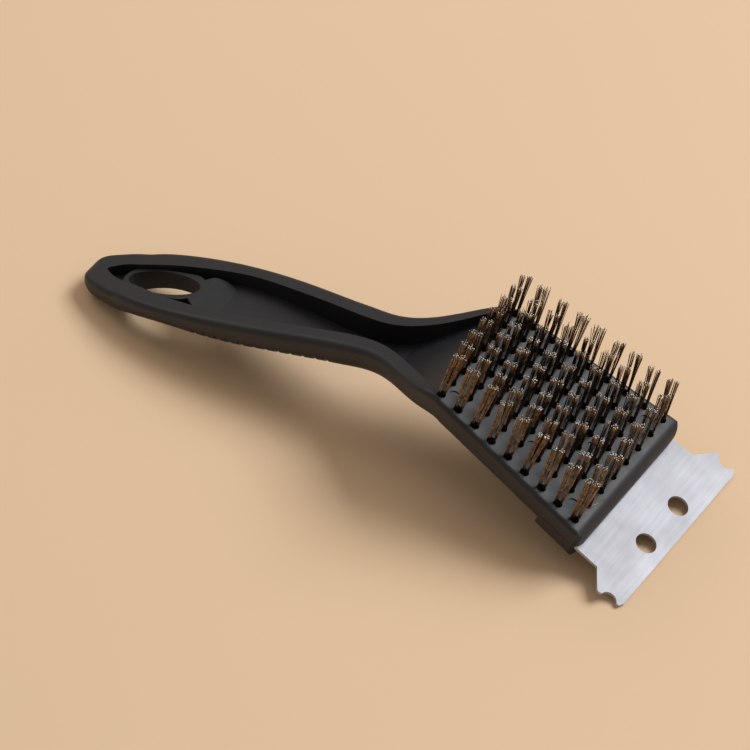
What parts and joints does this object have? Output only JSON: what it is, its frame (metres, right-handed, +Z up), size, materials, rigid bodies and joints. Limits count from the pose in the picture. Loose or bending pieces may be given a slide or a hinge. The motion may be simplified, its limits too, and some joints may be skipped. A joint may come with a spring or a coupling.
{
  "type": "grill cleaning brush",
  "caption": "Wire grill brush with a one-piece black plastic handle and head, short leaning wire tufts and a flat notched steel scraper at the nose.",
  "frame": {"origin": "bottom centre of the whole brush's bounding box, on the surface it lies on with its wires up", "axes": "+X from the handle's tail to the scraper, +Y across the brush, +Z up, away from the surface it lies on"},
  "size_m": [0.2178, 0.073, 0.0603],
  "materials": {
    "black_plastic": "satin",
    "blade_steel": "fine brushed",
    "wire_steel": "drawn wire, bright cut ends",
    "anchor_wire": "flat wire",
    "screw_steel": "zinc plated"
  },
  "bodies": {
    "root": {"handle_body": "black_plastic", "scraper_blade": "blade_steel", "tuft_row_1": "wire_steel", "anchor_row_1": "anchor_wire", "tuft_row_2": "wire_steel", "anchor_row_2": "anchor_wire", "tuft_row_3": "wire_steel", "anchor_row_3": "anchor_wire", "tuft_row_4": "wire_steel", "anchor_row_4": "anchor_wire", "tuft_row_5": "wire_steel", "anchor_row_5": "anchor_wire", "tuft_row_6": "wire_steel", "anchor_row_6": "anchor_wire", "tuft_row_7": "wire_steel", "anchor_row_7": "anchor_wire", "tuft_row_8": "wire_steel", "anchor_row_8": "anchor_wire", "tuft_row_9": "wire_steel", "anchor_row_9": "anchor_wire", "scraper_screw_left": "screw_steel", "scraper_screw_right": "screw_steel"}
  },
  "joints": []
}
